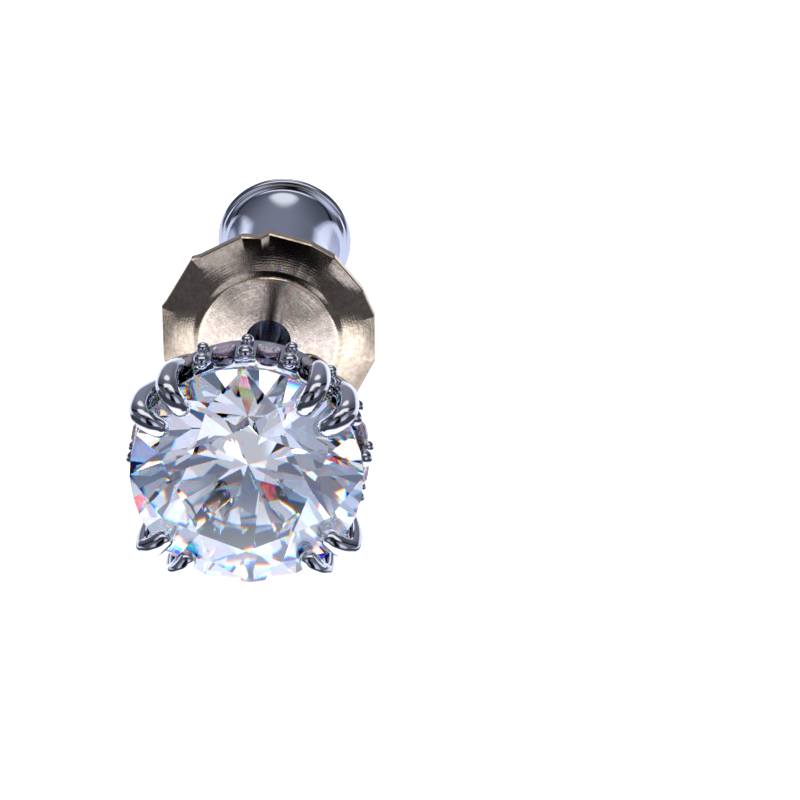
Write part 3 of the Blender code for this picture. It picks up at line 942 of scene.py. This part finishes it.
@dataclass(frozen=True)
class LightTent:
    """A white table inside grey diffusers, which meet in dark seams round the lens, under soft lights."""

    lens_azimuth: float = math.radians(4.1)
    corner_elevation: float = math.radians(44.0)
    arm_end: float = math.radians(125.0)
    slate: str = "70737F"
    seam: str = "07070C"
    haze: str = "9AA6C4"
    haze_share: float = 0.55
    leg_half_width: float = 0.05
    leg_widening: float = 0.16
    # The share of the leg's half width that is fully dark
    leg_core: float = 0.5
    lens_elevation: float = math.radians(14.0)
    box_elevation: float = math.radians(77.0)
    back_light_elevation: float = math.radians(50.0)
    patch_azimuth: float = math.radians(33.0)
    patch_elevation: float = math.radians(13.0)
    # Each of these reads from, to, the value before and the value after
    panel_edge: Ramp = (-0.01, 0.01, 0.0, 1.0)
    arm_ramp: Ramp = (0.042, 0.12, 0.0, 1.0)
    lens_ramp: Ramp = (math.cos(math.radians(11.0)), math.cos(math.radians(22.0)), 0.02, 1.0)
    left_ramp: Ramp = (-0.6, 0.8, 0.45, 0.85)
    right_ramp: Ramp = (-0.6, 0.8, 0.75, 1.25)
    left_patch_ramp: Ramp = (0.92, 0.995, 0.0, 3.2)
    right_patch_ramp: Ramp = (0.90, 0.995, 0.0, 4.4)
    top_ramp: Ramp = (-0.3, 0.9, 1.25, 0.9)
    beside_ramp: Ramp = (0.1, 0.75, 1.5, 0.6)
    leg_front_ramp: Ramp = (0.1, 0.3, 0.0, 1.0)
    box_across_ramp: Ramp = (0.726, 0.429, 0.0, 1.0)
    box_along_ramp: Ramp = (0.264, 0.144, 0.0, 1.0)
    box_height_ramp: Ramp = (0.3, 0.5, 0.0, 1.5)
    back_light_ramp: Ramp = (0.93, 0.985, 0.0, 1.5)
    horizon_ahead_ramp: Ramp = (-0.1, 0.5, 0.0, 1.0)
    horizon_ramp: Ramp = (0.10, 0.02, 0.0, 1.0)
    table_size: float = 3.0
    table_glow: float = 0.80
    # The table's painted light, seen by every ray but the camera's: a glowing painted pool round the head and
    # behind it, a painted glow seen through the stones, and painted dusk grey further off
    painted_pool_glow: float = 1.7
    painted_pool_ramp: Ramp = (12.5 * MM, 5.5 * MM, 0.0, 1.0)
    dusk: str = "3C3E48"
    painted_glow_behind_ramp: Ramp = (-5.0 * MM, 3.0 * MM, 0.0, 0.5)
    mirrored_white: str = "E2E9FF"
    painted_glow_through_stones: float = 0.26
    table_white: str = "F2F2F4"
    table_roughness: float = 0.6
    table_specular: float = 0.2
    lamp_size: float = 0.30
    lamp_height: float = 0.45
    lamp_power: float = 1.8
    lamp_ahead: float = 0.05

    def direction(self, sideways: float, elevation: float) -> Vector:
        """The way to a place of the tent, by its angle to the right of the lens and its elevation."""
        azimuth = self.lens_azimuth + sideways
        level = math.cos(elevation)
        return Vector((math.sin(azimuth) * level, -math.cos(azimuth) * level, math.sin(elevation)))

    def build(self, head: Vector) -> None:
        """Make the tent's light, the table and the lamp.

        Args:
            head: The middle of the stone's girdle.
        """
        self.world()
        self.table(head)
        self.lamp()

    def shading(self) -> Rows:
        """List the nodes that work out how bright each diffuser is, as a multiple of the slate colour.

        Returns:
            The rows. The last one is the brightness, with the seams at nought.
        """
        corner = self.direction(0.0, self.corner_elevation)
        left_end = self.direction(-self.arm_end, 0.0)
        right_end = self.direction(self.arm_end, 0.0)
        return (
            ("over_left", Work.COSINE, "way", left_end.cross(corner).normalized()),
            ("over_right", Work.COSINE, "way", corner.cross(right_end).normalized()),
            ("over", Work.LEAST, "over_left", "over_right"),
            ("sideways", Work.COSINE, "way", self.direction(math.pi / 2, 0.0)),
            ("height", Work.COSINE, "way", Vector((0.0, 0.0, 1.0))),
            ("near", Work.COSINE, "way", corner),
            ("ahead", Work.COSINE, "way", self.direction(0.0, 0.0)),
            ("lens", Work.COSINE, "way", self.direction(0.0, self.lens_elevation)),
            ("patch_left", Work.COSINE, "way", self.direction(-self.patch_azimuth, self.patch_elevation)),
            ("patch_right", Work.COSINE, "way", self.direction(self.patch_azimuth, self.patch_elevation)),
            ("lit_left", Work.RAMP, "near", *self.left_ramp),
            ("glow_left", Work.RAMP, "patch_left", *self.left_patch_ramp),
            ("left", Work.ADD, "lit_left", "glow_left"),
            ("lit_right", Work.RAMP, "near", *self.right_ramp),
            ("glow_right", Work.RAMP, "patch_right", *self.right_patch_ramp),
            ("right", Work.ADD, "lit_right", "glow_right"),
            ("is_right", Work.RAMP, "sideways", *self.panel_edge),
            ("side", Work.CHOICE, "is_right", "left", "right"),
            ("aside", Work.SIZE, "sideways"),
            ("beside", Work.RAMP, "aside", *self.beside_ramp),
            ("lit_top", Work.RAMP, "near", *self.top_ramp),
            ("top", Work.TIMES, "beside", "lit_top"),
            ("is_top", Work.RAMP, "over", *self.panel_edge),
            ("panels", Work.CHOICE, "is_top", "side", "top"),
            ("off_arm", Work.SIZE, "over"),
            ("arm_clear", Work.RAMP, "off_arm", *self.arm_ramp),
            ("widening", Work.TIMES, "height", self.leg_widening),
            ("leg_width", Work.ADD, "widening", self.leg_half_width),
            ("leg_start", Work.TIMES, "leg_width", self.leg_core),
            ("leg_side", Work.RAMP, "aside", "leg_start", "leg_width", 0.0, 1.0),
            ("in_front", Work.RAMP, "ahead", *self.leg_front_ramp),
            ("leg_front", Work.CHOICE, "in_front", 1.0, "leg_side"),
            ("leg", Work.MOST, "leg_front", "is_top"),
            ("lens_clear", Work.RAMP, "lens", *self.lens_ramp),
            ("leg_clear", Work.TIMES, "leg", "lens_clear"),
            ("seams", Work.TIMES, "arm_clear", "leg_clear"),
            ("shade", Work.TIMES, "panels", "seams"),
        )

    def world(self) -> None:
        """Paint the tent by direction: the diffusers and their seams, the soft lights and the horizon."""
        world = bpy.data.worlds.new("light_tent")
        bpy.context.scene.world = world
        world.use_nodes = True
        tree = world.node_tree
        tree.nodes.clear()
        rays = add_node(tree, "ShaderNodeLightPath")
        made = {
            "way": add_node(tree, "ShaderNodeTexCoord").outputs["Generated"],
            "camera": rays.outputs["Is Camera Ray"], "through": rays.outputs["Is Transmission Ray"],
        }
        add_rows(tree, made, (
            *self.shading(),
            ("lit", Work.BLEND, "shade", linear(self.seam), linear(self.slate)),
            ("above", Work.COSINE, "way", self.direction(0.0, self.box_elevation - math.pi / 2)),
            ("along", Work.SIZE, "above"),
            ("box_across", Work.RAMP, "aside", *self.box_across_ramp),
            ("box_along", Work.RAMP, "along", *self.box_along_ramp),
            ("box_shape", Work.TIMES, "box_across", "box_along"),
            ("box_height", Work.RAMP, "height", *self.box_height_ramp),
            ("box", Work.TIMES, "box_shape", "box_height"),
            ("back", Work.COSINE, "way", self.direction(math.pi, self.back_light_elevation)),
            ("back_light", Work.RAMP, "back", *self.back_light_ramp),
            ("lights", Work.ADD, "box", "back_light"),
            ("glow", Work.BLEND, "lights", "lit", linear(WHITE)),
            ("haze", Work.TIMES, "through", self.haze_share),
            ("hazed", Work.GLAZE, "haze", "glow", linear(self.haze)),
            ("is_ahead", Work.RAMP, "ahead", *self.horizon_ahead_ramp),
            ("horizon", Work.BLEND, "is_ahead", linear(self.mirrored_white), linear(self.dusk)),
            ("sweep", Work.RAMP, "height", *self.horizon_ramp),
            ("tent", Work.BLEND, "sweep", "hazed", "horizon"),
            ("shown", Work.BLEND, "camera", "tent", linear(WHITE)),
        ))
        background = add_node(tree, "ShaderNodeBackground", {"Color": made["shown"], "Strength": 1.0})
        add_node(tree, "ShaderNodeOutputWorld", {"Surface": background.outputs["Background"]})

    def table(self, head: Vector) -> None:
        """Make the table: evenly white to the camera, while the metal and stones see a painted pool of light that
        glows round the head and painted dusk grey away from it.

        Args:
            head: The middle of the stone's girdle, over the pool's middle.
        """
        bm = bmesh.new()
        bmesh.ops.create_grid(bm, x_segments=1, y_segments=1, size=self.table_size / 2)
        mesh = bpy.data.meshes.new("table")
        bm.to_mesh(mesh)
        bm.free()
        material, tree = blank_material("table_painted_light_pool")
        place = add_node(tree, "ShaderNodeTexCoord").outputs["Object"]
        away = add_node(tree, "ShaderNodeVectorMath", {
            0: place, 1: (head.x, head.y, 0.0),
        }, operation="DISTANCE")
        rays = add_node(tree, "ShaderNodeLightPath")
        made = {
            "camera": rays.outputs["Is Camera Ray"], "through": rays.outputs["Is Transmission Ray"],
            "away": away.outputs["Value"],
            "depth": add_node(tree, "ShaderNodeSeparateXYZ", {0: place}).outputs["Y"],
        }
        # Painted light: rays other than the camera's see the table glow as a painted pool round the head and
        # behind it, and as painted dusk grey elsewhere
        add_rows(tree, made, (
            ("under", Work.RAMP, "away", *self.painted_pool_ramp),
            ("behind", Work.RAMP, "depth", *self.painted_glow_behind_ramp),
            ("bright", Work.MOST, "under", "behind"),
            ("haze", Work.TIMES, "through", self.painted_glow_through_stones),
            ("pool", Work.MOST, "bright", "haze"),
            ("mirrored", Work.TIMES, "pool", self.painted_pool_glow),
            ("glow", Work.CHOICE, "camera", "mirrored", self.table_glow),
            ("white", Work.MOST, "camera", "pool"),
            ("colour", Work.BLEND, "white", linear(self.dusk), linear(self.table_white)),
            ("shine", Work.BLEND, "camera", linear(self.mirrored_white), linear(WHITE)),
        ))
        shader = add_node(tree, "ShaderNodeBsdfPrincipled", {
            "Base Color": made["colour"], "Roughness": self.table_roughness,
            "Specular IOR Level": self.table_specular,
            "Emission Color": made["shine"], "Emission Strength": made["glow"],
        })
        add_node(tree, "ShaderNodeOutputMaterial", {"Surface": shader.outputs["BSDF"]})
        mesh.materials.append(material)
        table = bpy.data.objects.new("table", mesh)
        bpy.context.scene.collection.objects.link(table)

    def lamp(self) -> None:
        """Hang a large soft lamp over the table, which the metal and stones don't mirror."""
        light = bpy.data.lights.new("soft_lamp", "AREA")
        light.shape = "DISK"
        light.size = self.lamp_size
        light.energy = self.lamp_power
        lamp = bpy.data.objects.new("soft_lamp", light)
        lamp.location = (0.0, -self.lamp_ahead, self.lamp_height)
        lamp.visible_glossy = False
        lamp.visible_transmission = False
        bpy.context.scene.collection.objects.link(lamp)


@dataclass(frozen=True)
class Camera:
    """A long lens that looks down at the stone, with the earring left of the picture's middle."""

    distance: float = 300 * MM
    azimuth: float = math.radians(4.1)
    elevation: float = math.radians(27.4)
    focal_pixels: float = 9390.0
    frame_pixels: float = 800.0
    stone_pixel: tuple[float, float] = (246.5, 474.0)
    sensor_mm: float = 36.0
    clip: tuple[float, float] = (30 * MM, 10.0)

    def build(self, target: Vector) -> None:
        """Place the camera so that a point lands on the stone's pixel.

        Args:
            target: The middle of the stone's girdle.
        """
        level = math.cos(self.elevation)
        turn = self.azimuth
        back = Vector((math.sin(turn) * level, -math.cos(turn) * level, math.sin(self.elevation)))
        data = bpy.data.cameras.new("camera")
        data.sensor_width = self.sensor_mm
        data.lens = self.focal_pixels / self.frame_pixels * self.sensor_mm
        data.clip_start, data.clip_end = self.clip
        across = (self.stone_pixel[0] - self.frame_pixels / 2) / self.focal_pixels
        down = (self.stone_pixel[1] - self.frame_pixels / 2) / self.focal_pixels
        pitch = -self.elevation + math.atan(down)
        yaw = -self.azimuth - math.atan(across / math.cos(self.elevation))
        camera = bpy.data.objects.new("camera", data)
        camera.location = target + back * self.distance
        camera.rotation_euler = Euler((math.pi / 2 + pitch, 0.0, -yaw))
        bpy.context.scene.collection.objects.link(camera)
        bpy.context.scene.camera = camera


def main() -> None:
    """Build the earring's looks and its studio."""
    logging.basicConfig(level=logging.INFO, format="%(name)s: %(message)s")
    bpy.context.scene.view_settings.view_transform = "Standard"
    axis = EarringAxis.from_frame(Setting.base_back)
    assemblies = [Stones(axis), Setting(axis), ClutchDisc(axis), ClutchSpool(axis)]
    for assembly in assemblies:
        assembly.build()
        LOG.info("%s holds %d pieces", type(assembly).__name__, len(assembly.made))
    LightTent().build(axis.origin)
    Camera().build(axis.origin)


if __name__ == "__main__":
    main()
